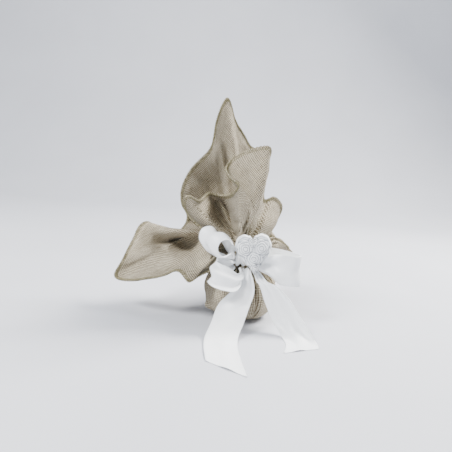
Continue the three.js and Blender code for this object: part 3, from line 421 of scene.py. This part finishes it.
# ------------------------------------------------------------------ overlocked edge
def tube_mesh(paths, radius, seg=5, closed=False):
    """paths: list of (n,3) arrays; returns verts, faces of one mesh of closed tubes"""
    vs = []; fs = []; base = 0
    for P_ in paths:
        P_ = np.asarray(P_, float); n = len(P_)
        tn = np.gradient(P_, axis=0) if not closed else (np.roll(P_, -1, 0) - np.roll(P_, 1, 0))
        tn /= np.maximum(np.linalg.norm(tn, axis=1, keepdims=True), 1e-9)
        ref = np.array([0, 0, 1.0]); a = np.cross(tn, ref); bad = np.linalg.norm(a, axis=1) < 0.2
        a[bad] = np.cross(tn[bad], [1.0, 0, 0]); a /= np.linalg.norm(a, axis=1, keepdims=True); b = np.cross(tn, a)
        th = np.arange(seg) * 2 * np.pi / seg
        rr = radius if np.ndim(radius) == 0 else np.asarray(radius)[:, None, None]
        ring = P_[:, None, :] + rr * (np.cos(th)[None, :, None] * a[:, None, :] + np.sin(th)[None, :, None] * b[:, None, :])
        vs.append(ring.reshape(-1, 3))
        m_ = n if closed else n - 1
        for i in range(m_):
            q = quads(base + i * seg, base + ((i + 1) % n) * seg, seg, True); fs += [tuple(x) for x in q.tolist()]
        if not closed:
            fs.append(tuple(range(base, base + seg))); fs.append(tuple(range(base + (n - 1) * seg + seg - 1, base + (n - 1) * seg - 1, -1)))
        base += n * seg
    return np.concatenate(vs), fs

def cloth_frame(T, inset):
    """points and outer-face normals on the cloth, inset mm in from the hem, at edge positions T"""
    x = np.mod(T, PERIM) / PERIM * NR; i = np.floor(x).astype(int) % NR; j = (i + 1) % NR; fx = (x - np.floor(x))[:, None]
    g = G[:, i] * (1 - fx)[None] + G[:, j] * fx[None]; n = NRM[:, i] * (1 - fx)[None] + NRM[:, j] * fx[None]
    seglen = np.linalg.norm(np.diff(g[::-1], axis=0), axis=2); cum = np.vstack([np.zeros(len(T)), np.cumsum(seglen, 0)])
    gr = g[::-1]; nr = n[::-1]; P_ = np.empty((len(T), 3)); Q_ = np.empty((len(T), 3))
    for k in range(len(T)):
        s = inset if np.ndim(inset) == 0 else inset[k]
        a = min(np.searchsorted(cum[:, k], s, side="right") - 1, len(cum) - 2); w = (s - cum[a, k]) / max(cum[a + 1, k] - cum[a, k], 1e-9)
        P_[k] = gr[a, k] * (1 - w) + gr[a + 1, k] * w; Q_[k] = nr[a, k] * (1 - w) + nr[a + 1, k] * w
    Q_ /= np.linalg.norm(Q_, axis=1, keepdims=True)
    return P_, Q_

NST = 690
rs = np.random.RandomState(4)
Ts = (np.arange(NST) + rs.uniform(-0.12, 0.12, NST)) * PERIM / NST
slant = 0.75
ins = [2.7, 1.9, 1.0, 0.15, -0.25, 0.15, 1.0, 1.9, 2.7]; lift = [0.30, 0.62, 0.64, 0.58, 0.0, -0.58, -0.64, -0.62, -0.30]; dt = [-slant, -0.5, -0.2, 0.0, 0.1, 0.25, 0.45, 0.7, 0.95]
pts = []
for s_, l_, d_ in zip(ins, lift, dt):
    P_, Q_ = cloth_frame(Ts + d_, max(s_, 0.0))
    if s_ < 0:
        P2, _ = cloth_frame(Ts + d_, 0.6); o = P_ - P2; o /= np.linalg.norm(o, axis=1, keepdims=True); P_ = P_ + o * (-s_ + 0.1)
    pts.append(P_ + Q_ * l_ * (1 + 0.1 * rs.uniform(-1, 1, (NST, 1))))
pts = np.stack(pts, 1)
paths = [pts[k] for k in range(NST)]
v1, f1 = tube_mesh(paths, np.array([0.22, 0.30, 0.33, 0.34, 0.34, 0.34, 0.33, 0.30, 0.22]), 5)
# the two looper threads that run along the inner line, on both faces
Tl = np.arange(1400) * PERIM / 1400
for side in (1, -1):
    P_, Q_ = cloth_frame(Tl, 2.7 + 0.28 * np.sin(Tl * NST / PERIM * 2 * np.pi))
    v2, f2 = tube_mesh([P_ + Q_ * side * 0.55], 0.24, 5, closed=True)
    f1 += [tuple(i + len(v1) for i in q) for q in f2]; v1 = np.concatenate([v1, v2])
hem = mesh("overlock_stitches", v1, f1, EDGE)
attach(hem, "pouch"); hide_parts("overlock_edging")

# ------------------------------------------------------------------ satin ribbon
def crom(P_, n):
    """centripetal Catmull-Rom through the stations, n samples, all columns together"""
    P_ = np.asarray(P_, float); c = P_[:, :3]
    d = np.linalg.norm(np.diff(c, axis=0), axis=1) ** 0.5; t = np.concatenate([[0], np.cumsum(d)])
    m = np.zeros_like(P_)
    for i in range(1, len(t) - 1):
        h0 = t[i] - t[i - 1]; h1 = t[i + 1] - t[i]
        m[i] = ((P_[i] - P_[i - 1]) / h0 * h1 + (P_[i + 1] - P_[i]) / h1 * h0) / (h0 + h1)
    m[0] = (P_[1] - P_[0]) / (t[1] - t[0]) * 1.5 - m[1] * 0.5; m[-1] = (P_[-1] - P_[-2]) / (t[-1] - t[-2]) * 1.5 - m[-2] * 0.5
    x = np.linspace(0, t[-1], n); i = np.clip(np.searchsorted(t, x, side="right") - 1, 0, len(t) - 2)
    h = (t[i + 1] - t[i])[:, None]; k = ((x - t[i])[:, None]) / h
    return (2 * k ** 3 - 3 * k ** 2 + 1) * P_[i] + (k ** 3 - 2 * k ** 2 + k) * h * m[i] + (-2 * k ** 3 + 3 * k ** 2) * P_[i + 1] + (k ** 3 - k ** 2) * h * m[i + 1]

def fold_height(h, k, width=25.0, cap=3.2):
    """wave height that makes a strip h half wide in plan use up its full width"""
    q = np.linspace(-1, 1, 201); out = np.zeros(len(h))
    for i, a in enumerate(h):
        lo, hi = 0.0, cap
        for _ in range(16):
            A = (lo + hi) / 2; y = A * np.sin(np.pi * k * q); L = np.hypot(np.diff(q * a), np.diff(y)).sum()
            if L < width: lo = A
            else: hi = A
        out[i] = lo
    return out

def ribbon(name, st, body, node_names, seed, folds=3.0, slant=0.0, n=110, nw=33, cup=0.0, width=25.0, cap=3.2, phase=0.0, ripple=0.25, thick=0.34, closed=False):
    S = crom([list(a) + list(b) for a, b in st], n); C = S[:, :3]; W = S[:, 3:]
    if closed: C = C.copy()
    tn = np.gradient(C, axis=0); ds = np.linalg.norm(tn, axis=1); tn /= ds[:, None]
    along = np.concatenate([[0], np.cumsum(np.linalg.norm(np.diff(C, axis=0), axis=1))]); L = along[-1]
    nn = np.cross(tn, W); nn /= np.linalg.norm(nn, axis=1, keepdims=True)
    hw = np.linalg.norm(W, axis=1); A = fold_height(hw, folds, width, cap)
    k = np.ones(5) / 5; A = np.convolve(np.pad(A, 2, mode="edge"), k, mode="valid")
    q = np.linspace(-1, 1, nw); g = np.random.RandomState(seed)
    ph_ = phase + 0.5 * np.interp(along, np.linspace(0, L, 6), g.uniform(-1, 1, 6))
    wave = A[:, None] * np.sin(np.pi * folds * q[None, :] + ph_[:, None])
    a1 = g.uniform(0, 6.28, 6)
    rip = ripple * (np.sin(along[:, None] / 7.5 + 1.5 * q[None] + a1[0]) * 0.6 + np.sin(along[:, None] / 3.9 - 2.2 * q[None] + a1[1]) * 0.3 + np.sin(along[:, None] / 13 + 3.0 * q[None] + a1[2]) * 0.8)
    cu = cup * (q ** 2 - 0.33)[None, :] * (hw / 12.4)[:, None] ** 2
    off = wave + rip * smooth(np.minimum(along, L - along) / 10)[:, None] + cu
    sl = (slant * smooth((along - (L - 26)) / 26))[:, None] * q[None, :]
    mid = C[:, None, :] + W[:, None, :] * q[None, :, None] + nn[:, None, :] * off[:, :, None] + tn[:, None, :] * (sl * hw[:, None])[:, :, None]
    mid[:, :, 2] = np.maximum(mid[:, :, 2], 0.28)
    a = np.gradient(mid, axis=0); b = np.gradient(mid, axis=1); nr = np.cross(a, b); nr /= np.maximum(np.linalg.norm(nr, axis=2, keepdims=True), 1e-9)
    top = mid + nr * thick / 2; bot = mid - nr * thick / 2
    V_ = np.concatenate([top.reshape(-1, 3), bot.reshape(-1, 3)]); K = n * nw; F_ = []
    V_[:, 2] = np.maximum(V_[:, 2], 0.02)
    id_ = np.arange(n * nw).reshape(n, nw)
    q1 = np.stack([id_[:-1, :-1], id_[1:, :-1], id_[1:, 1:], id_[:-1, 1:]], -1).reshape(-1, 4)
    F_ = [q1, q1[:, ::-1] + K]
    e0 = id_[:, 0]; e1 = id_[:, -1]; r0 = id_[0]; r1 = id_[-1]
    F_.append(np.stack([e0[1:], e0[:-1], e0[:-1] + K, e0[1:] + K], 1)); F_.append(np.stack([e1[:-1], e1[1:], e1[1:] + K, e1[:-1] + K], 1))
    F_.append(np.stack([r0[:-1], r0[1:], r0[1:] + K, r0[:-1] + K], 1)); F_.append(np.stack([r1[1:], r1[:-1], r1[:-1] + K, r1[1:] + K], 1))
    F_ = np.concatenate(F_)
    uv = np.stack(np.meshgrid(along, (q + 1) * width / 2, indexing="ij")[::-1], -1).reshape(-1, 2)
    o = mesh(name, V_, F_.tolist(), SATIN, uv=np.concatenate([uv, uv]))
    area = np.linalg.norm(np.cross(mid[1:, :-1] - mid[:-1, :-1], mid[:-1, 1:] - mid[:-1, :-1]), axis=2).sum()
    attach(o, body) if body else None
    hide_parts(*node_names)
    print("ribbon", name, "length %.1f" % L, "area %.0f" % area, "ratio %.2f" % (area / (L * width)))
    return o, L

ul, L_ul = ribbon("satin_loop_upper_left", [
  [[-7.2, -16.4, 55.5], [0.8, -1.0, 5.2]], [[-11.5, -22, 61], [3.5, -4.5, 4.5]], [[-15.5, -26.5, 68], [6.2, -8, 1.0]], [[-21, -29, 74.8], [7.4, -9, -2.2]],
  [[-28.0, -30.5, 72.6], [7.6, -9, -2.8]], [[-29.6, -32.5, 65.6], [7.6, -9, -2.8]], [[-23.8, -33.4, 58.8], [7.2, -8.5, -2.0]], [[-15, -29.5, 56.5], [4.5, -5.5, 2.0]], [[-9.6, -24.0, 53.5], [1.5, -1.5, 5]]],
  "pouch", ["bow_loop_upper_left"], 11, folds=1.5, phase=0.4, cap=2.0)
ll, L_ll = ribbon("satin_loop_lower_left", [
  [[-7.6, -19.6, 47.6], [1.2, 1.2, 3.6]], [[-11.4, -26, 46], [1.8, 3.5, 5.5]], [[-19.4, -31, 47], [2.0, 6, 7.5]], [[-24.9, -36, 46.5], [1.8, 7.5, 8]],
  [[-22.9, -41.5, 44.5], [1.6, 7.5, 8]], [[-12.4, -44, 41.5], [1.4, 7.5, 7.6]], [[-5, -42, 39], [1.2, 6, 6]], [[-1.5, -36, 41], [0.6, 3.5, 4.2]], [[-2.5, -29.5, 44.6], [0.4, 1.8, 3.2]]],
  "pouch", ["bow_loop_lower_left"], 12, folds=1.5, phase=1.2, cap=2.0)
rl, L_rl = ribbon("satin_loop_right", [
  [[10.8, -14.6, 52], [0.3, 1, 5.5]], [[18, -13.5, 52], [0.2, 1, 10]], [[30, -15.5, 50.5], [0, 0, 12.4]], [[42, -19.5, 49], [-0.6, 0, 12.4]],
  [[46.5, -24.5, 48.4], [-0.9, 0, 12.4]], [[42, -29, 48.2], [-0.6, 0, 12.4]], [[30, -29, 49], [0, 0, 12.2]], [[22.5, -25.6, 50.5], [0.1, 0.6, 9]], [[12.4, -21.6, 49.6], [0.2, 1, 4.6]]],
  "pouch", ["bow_loop_right"], 13, folds=1.5, phase=0.9, cap=2.4)
lt, L_lt = ribbon("satin_tail_left", [
  [[3.0, -20.4, 45.6], [3.4, 0.5, -0.2]], [[3.4, -24.2, 42.6], [4, 0.8, -0.4]], [[3.6, -30, 38.6], [5.4, 1.2, -0.4]], [[1.2, -36.6, 31], [9, 1.6, -0.5]], [[-5.6, -46, 21], [12.2, 1.6, -0.6]], [[-9.8, -55.5, 10], [12.3, 1.6, -0.4]],
  [[-13.4, -65, 2.6], [12.4, 1.4, 0]], [[-13.6, -78, 0.6], [12.4, 0.4, 0]], [[-11.5, -98, 0.5], [12.4, -0.6, 0]], [[-9.4, -112, 0.6], [12.3, -1.6, 0]]],
  "left_tail", ["ribbon_tail_left"], 14, folds=1.5, slant=0.62, n=150, phase=0.7, cap=1.1, ripple=0.22)
rt, L_rt = ribbon("satin_tail_right", [
  [[8.6, -19.0, 45.2], [2.4, -0.8, 0.2]], [[12.6, -23.4, 41.6], [3.4, -1.4, 0.2]], [[15.8, -28.8, 37.8], [4.4, -2, 0.5]], [[20.4, -32.8, 36], [6.8, -2.6, 0.8]], [[28, -36, 26], [9.4, -3.6, 2.4]], [[36, -41, 13.6], [10.6, -4, 3.4]],
  [[43.2, -50, 4.6], [11.4, -3.4, 2.0]], [[46.6, -61, 0.8], [12.2, -1.2, 0]], [[45.4, -73, 0.5], [12.3, -1, 0]]],
  "right_tail", ["ribbon_tail_right"], 15, folds=1.5, slant=-0.62, n=130, phase=2.0, cap=1.0, ripple=0.22)
# short wrap that holds the loops together, round the middle of the bow
kn, L_kn = ribbon("satin_knot_wrap", [
  [[1.4, -14.2, 48.6], [7.0, 0, 0.2]], [[1.4, -17.6, 47.6], [7.4, 0, 0.2]], [[1.5, -20.4, 49.4], [7.8, 0.2, 0.3]], [[1.5, -21.6, 52.4], [8.0, 0, 0.3]],
  [[1.5, -20.4, 56.4], [7.8, 0, 0.2]], [[1.6, -17.4, 58.3], [7.4, 0, 0.2]], [[1.6, -14.2, 56.9], [7.0, 0, 0.2]]],
  "pouch", ["bow_knot"], 16, folds=3.0, n=60, nw=49, cap=1.1, phase=0.3, ripple=0.1)

# band round the neck: the ribbon gathered to a cord of folds
NBD = 150; qb = np.linspace(-1, 1, 61); ab = np.arange(NBD) * 2 * np.pi / NBD
g = np.random.RandomState(7)
mid_r = 11.75 + 1.42 * np.sin(np.pi * 3 * qb[None, :] + 0.8 * np.sin(ab * 2 + 1)[:, None] + 0.5 * np.sin(ab * 5)[:, None]) + 0.12 * np.sin(ab * 9 + 1)[:, None]
mid_z = 50.5 + 3.0 * qb[None, :] * (1 + 0.06 * np.sin(ab * 3)[:, None]) + 0.35 * np.sin(ab * 4 + 0.6)[:, None]
mid_b = np.stack([mid_r * np.cos(ab)[:, None], mid_r * np.sin(ab)[:, None], mid_z], -1)
nb_ = np.cross(np.roll(mid_b, -1, 0) - np.roll(mid_b, 1, 0), np.gradient(mid_b, axis=1)); nb_ /= np.linalg.norm(nb_, axis=2, keepdims=True)
KB = NBD * 61; idb = np.arange(KB).reshape(NBD, 61); idn = np.roll(idb, -1, 0)
qq = np.stack([idb[:, :-1], idn[:, :-1], idn[:, 1:], idb[:, 1:]], -1).reshape(-1, 4)
Fb = np.concatenate([qq, qq[:, ::-1] + KB, np.stack([idn[:, 0], idb[:, 0], idb[:, 0] + KB, idn[:, 0] + KB], 1), np.stack([idb[:, -1], idn[:, -1], idn[:, -1] + KB, idb[:, -1] + KB], 1)])
uvb = np.stack([np.broadcast_to((qb + 1)[None] * 12.5, (NBD, 61)), np.broadcast_to((ab * 11.75)[:, None], (NBD, 61))], -1).reshape(-1, 2)
band = mesh("satin_neck_band", np.concatenate([(mid_b + nb_ * 0.15).reshape(-1, 3), (mid_b - nb_ * 0.15).reshape(-1, 3)]), Fb.tolist(), SATIN, uv=np.concatenate([uvb, uvb]))
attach(band, "pouch"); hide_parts("ribbon_neck_band")
a_band = np.linalg.norm(np.cross((idn * 0 + 1)[:, :-1, None] * (np.roll(mid_b, -1, 0) - mid_b)[:, :-1], mid_b[:, 1:] - mid_b[:, :-1]), axis=2).sum()
print("band ratio %.2f" % (a_band / (25 * 73.8)))

# ------------------------------------------------------------------ thread round the neck, two plies wound three times
tt = np.linspace(0, 3 * 2 * np.pi, 560); core = []
for s in (0, np.pi):
    rr_ = 10.35 + 0.10 * np.cos(tt * 34 + s); zz_ = 49.2 + 1.5 * (tt / tt[-1]) + 0.10 * np.sin(tt * 34 + s)
    core.append(np.stack([rr_ * np.cos(tt), rr_ * np.sin(tt), zz_], 1))
vt, ft = tube_mesh(core, 0.16, 6)
thread = mesh("neck_thread_plies", vt, ft, THREAD)
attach(thread, "pouch"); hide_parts("neck_thread")

# ------------------------------------------------------------------ plaster heart with a rose in relief
NA, NRD = 220, 96
av_ = np.arange(NA) * 2 * np.pi / NA
hx = 16 * np.sin(av_) ** 3 / 32 * 30.0; hy = (13 * np.cos(av_) - 5 * np.cos(2 * av_) - 2 * np.cos(3 * av_) - np.cos(4 * av_) + 2.6) / 29 * 36.0
hy = hy + 2.6 * np.exp(-(hx / 2.6) ** 2) * (hy > 0); sc = 1 + 0.022 * np.abs(np.sin(av_ * 9)) - 0.010; hx = hx * sc * 0.97; hy = hy * sc * 0.97
def rose(x, y):
    H = np.zeros_like(x)
    for cx, cy, R0, rot in ((-6.4, 6.8, 6.4, 0.3), (6.2, 6.6, 6.6, 1.4), (-0.2, -1.6, 6.6, 2.2), (0.2, 10.8, 4.0, 0.9), (0.4, -9.6, 4.6, 1.9)):
        dx = x - cx; dy = y - cy; r_ = np.hypot(dx, dy); th = np.arctan2(dy, dx) + rot; h = np.zeros_like(r_)
        for R, k_, p_, st_ in ((0.20, 3, 0.4, 0.45), (0.45, 4, 1.1, 0.50), (0.72, 5, 0.2, 0.55), (1.0, 6, 0.9, 0.60)):
            Rp = R0 * R * (1 + 0.15 * np.abs(np.cos(k_ / 2 * (th - p_))) - 0.06)
            h += st_ / (1 + np.exp((r_ - Rp) / 0.16)) + 0.34 * np.exp(-((r_ - Rp + 0.22) / 0.30) ** 2) - 0.30 * np.exp(-((r_ - Rp - 0.25) / 0.26) ** 2)
        H = np.maximum(H, h)
    return H
prof = pchip([0, 0.18, 0.40, 0.55, 0.72, 0.84, 0.93, 0.975, 1.0], [8.0, 7.95, 7.82, 7.6, 7.0, 6.2, 4.9, 3.6, 1.8])
fr = np.concatenate([[0.004], np.linspace(0.02, 1.0, NRD)]); front = []; rel = []
for q in fr:
    x = hx * q; y = (hy - 2) * q + 2; base = prof(np.full(1, q))[0]
    rim = 0.45 * np.exp(-((q - 0.90) / 0.028) ** 2) * (0.8 + 0.2 * np.cos(av_ * 60))
    h = base - 1.9 * smooth((0.95 - q) / 0.1) + rose(x, y) * smooth((0.985 - q) / 0.06) * 1.5 + rim * 0.4; rel.append(rose(x, y))
    front.append(np.stack([x, y, h - 0.35 * 1], 1))
side_ = [np.stack([hx * q, (hy - 2) * q + 2, np.full(NA, h)], 1) for q, h in ((0.995, 1.1), (0.97, 0.5), (0.93, 0.0), (0.5, 0.0), (0.004, 0.0))]
gr_ = np.array(front + side_); c_, s_ = math.cos(0.14), math.sin(0.14)
pos = np.stack([7.5 + gr_[..., 0] * c_ - gr_[..., 1] * s_, -24.6 - gr_[..., 2], 58 + gr_[..., 0] * s_ + gr_[..., 1] * c_], -1)
Fh = np.concatenate([quads(i * NA, (i + 1) * NA, NA, True) for i in range(len(gr_) - 1)]).tolist() + [tuple(range(NA)), tuple(range((len(gr_) - 1) * NA + NA - 1, (len(gr_) - 1) * NA - 1, -1))]
hrt = mesh("plaster_heart_relief", pos.reshape(-1, 3), Fh, PLASTER)
# painted shade for the rose's crevices: relief height minus its blur, stored as the 'hollow' attribute that darkens the
# plaster colour
rel = np.array(rel); bl = rel.copy()
for _ in range(14): bl = (bl + np.roll(bl, 1, 1) + np.roll(bl, -1, 1) + np.vstack([bl[:1], bl[:-1]]) + np.vstack([bl[1:], bl[-1:]])) / 5
painted_crevice_shade = np.clip(0.5 + (rel - bl) * 1.5, 0, 1); painted_crevice_shade = np.vstack([painted_crevice_shade, np.full((len(side_), NA), 0.6)])
at_h = hrt.data.attributes.new("hollow", "FLOAT", "POINT"); at_h.data.foreach_set("value", painted_crevice_shade.ravel().astype(np.float32))
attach(hrt, "pouch"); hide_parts("plaster_heart")

# ------------------------------------------------------------------ tulle veil, pleated round the sweets
VP = np.array([[2.5, 2.35], [12, 2.4], [19.45, 4.25], [26.3, 10.05], [28.8, 20], [27.6, 31.2], [21.1, 38.7], [12.4, 42.0], [4.7, 43.3]])
VP[2:, 0] = VP[2:, 0] * [0.98, 0.93, 0.86, 0.78, 0.72, 0.62, 0.7]; VP[3:, 1] -= [0, 0, 1, 2, 2, 1]
VS = crom(np.column_stack([VP, np.zeros(9), VP, np.zeros(9)]), 90)[:, :2]
NV = 40 * 14; at_ = np.arange(NV) * 2 * np.pi / NV; sd = np.concatenate([[0], np.cumsum(np.linalg.norm(np.diff(VS, axis=0), axis=1))])
amp = 1.25 * smooth((sd - 10) / 20) * (1 - 0.6 * smooth((sd - 62) / 14))
vm = []
for (r_, z_), a_ in zip(VS, amp):
    rr_ = r_ - a_ * (0.5 - 0.5 * np.cos(at_ * 40)) * 2.3; vm.append(np.stack([rr_ * np.cos(at_), rr_ * np.sin(at_), np.full(NV, z_)], 1))
vm = np.array(vm); tv = np.roll(vm, -1, 1) - np.roll(vm, 1, 1); nv = np.cross(tv, np.gradient(vm, axis=0)); nv /= np.maximum(np.linalg.norm(nv, axis=2, keepdims=True), 1e-9)
KV = 90 * NV; Vv = np.concatenate([(vm + nv * 0.08).reshape(-1, 3), (vm - nv * 0.08).reshape(-1, 3)])
Fv = np.concatenate([quads(i * NV, (i + 1) * NV, NV) for i in range(89)] + [quads(KV + i * NV, KV + (i + 1) * NV, NV, True) for i in range(89)] + [quads(89 * NV, KV + 89 * NV, NV), quads(0, KV, NV, True)])
uvv = np.stack([(sd[:, None] + 2.5) * np.cos(at_)[None], (sd[:, None] + 2.5) * np.sin(at_)[None]], -1).reshape(-1, 2)
veil = mesh("tulle_wrap", Vv, Fv.tolist(), TULLE, uv=np.concatenate([uvv, uvv]))
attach(veil, "pouch"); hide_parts("tulle_veil")

# ------------------------------------------------------------------ carried over pieces: sweets and glue
for nm in ("sugared_almond_1", "sugared_almond_2", "sugared_almond_3", "sugared_almond_4", "sugared_almond_5", "glue_dab"):
    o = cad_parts[nm]; mt = GLUE if nm == "glue_dab" else SUGAR
    if len(o.material_slots):
        for s in o.material_slots: s.material = mt
    else: o.data.materials.append(mt)

cloth_a = np.linalg.norm(np.cross((np.roll(G, -1, 1) - G)[:-1], G[1:] - G[:-1]), axis=2).sum()
print("cloth area %.0f of 90000 ratio %.3f" % (cloth_a, cloth_a / 90000))

# ------------------------------------------------------------------ table, light
def floor_material():
    mt, nt, b = new_mat("pale floor"); tc = node(nt, "ShaderNodeTexCoord"); n = node(nt, "ShaderNodeTexNoise"); n.inputs["Scale"].default_value = 6; n.inputs["Detail"].default_value = 4
    nt.links.new(tc.outputs["Object"], n.inputs["Vector"])
    nt.links.new(ramp(nt, n.outputs["Fac"], [(0.35, (0.52, 0.53, 0.565)), (0.65, (0.545, 0.555, 0.59))]), b.inputs["Base Color"]); b.inputs["Roughness"].default_value = 0.85
    return mt
sw = [(-1400, 0), (700, 0)] + [(700 + 500 * math.sin(k * math.pi / 40), 500 - 500 * math.cos(k * math.pi / 40)) for k in range(1, 21)] + [(1200, 2200)]
fv = [(x, y, z) for y, z in sw for x in (-2200, 2200)]
fl = mesh("floor", np.array(fv, float), [(2 * i, 2 * i + 1, 2 * i + 3, 2 * i + 2) for i in range(len(sw) - 1)], floor_material())
w = bpy.data.worlds.new("studio"); bpy.context.scene.world = w; w.use_nodes = True
w.node_tree.nodes["Background"].inputs[0].default_value = (0.80, 0.86, 0.95, 1); w.node_tree.nodes["Background"].inputs[1].default_value = 0.60
def area_light(name, at, to, size, power, col):
    ld = bpy.data.lights.new(name, "AREA"); ld.shape = "RECTANGLE"; ld.size = size[0]; ld.size_y = size[1]; ld.energy = power; ld.color = col
    o = bpy.data.objects.new(name, ld); bpy.context.scene.collection.objects.link(o); o.location = at
    o.rotation_euler = (Vector(to) - Vector(at)).to_track_quat("-Z", "Y").to_euler(); return o
area_light("window", (0.62, 0.30, 0.80), (0, 0, 0.06), (0.40, 0.40), 38.0, (1.0, 0.985, 0.96))
area_light("front_fill", (-0.72, -0.62, 0.98), (0, 0, 0.06), (0.36, 0.36), 31.0, (0.98, 0.99, 1.0))

area_light("backdrop", (0.0, 0.45, 1.7), (0, 1.15, 0.2), (1.8, 0.6), 18.0, (0.93, 0.95, 1.0))
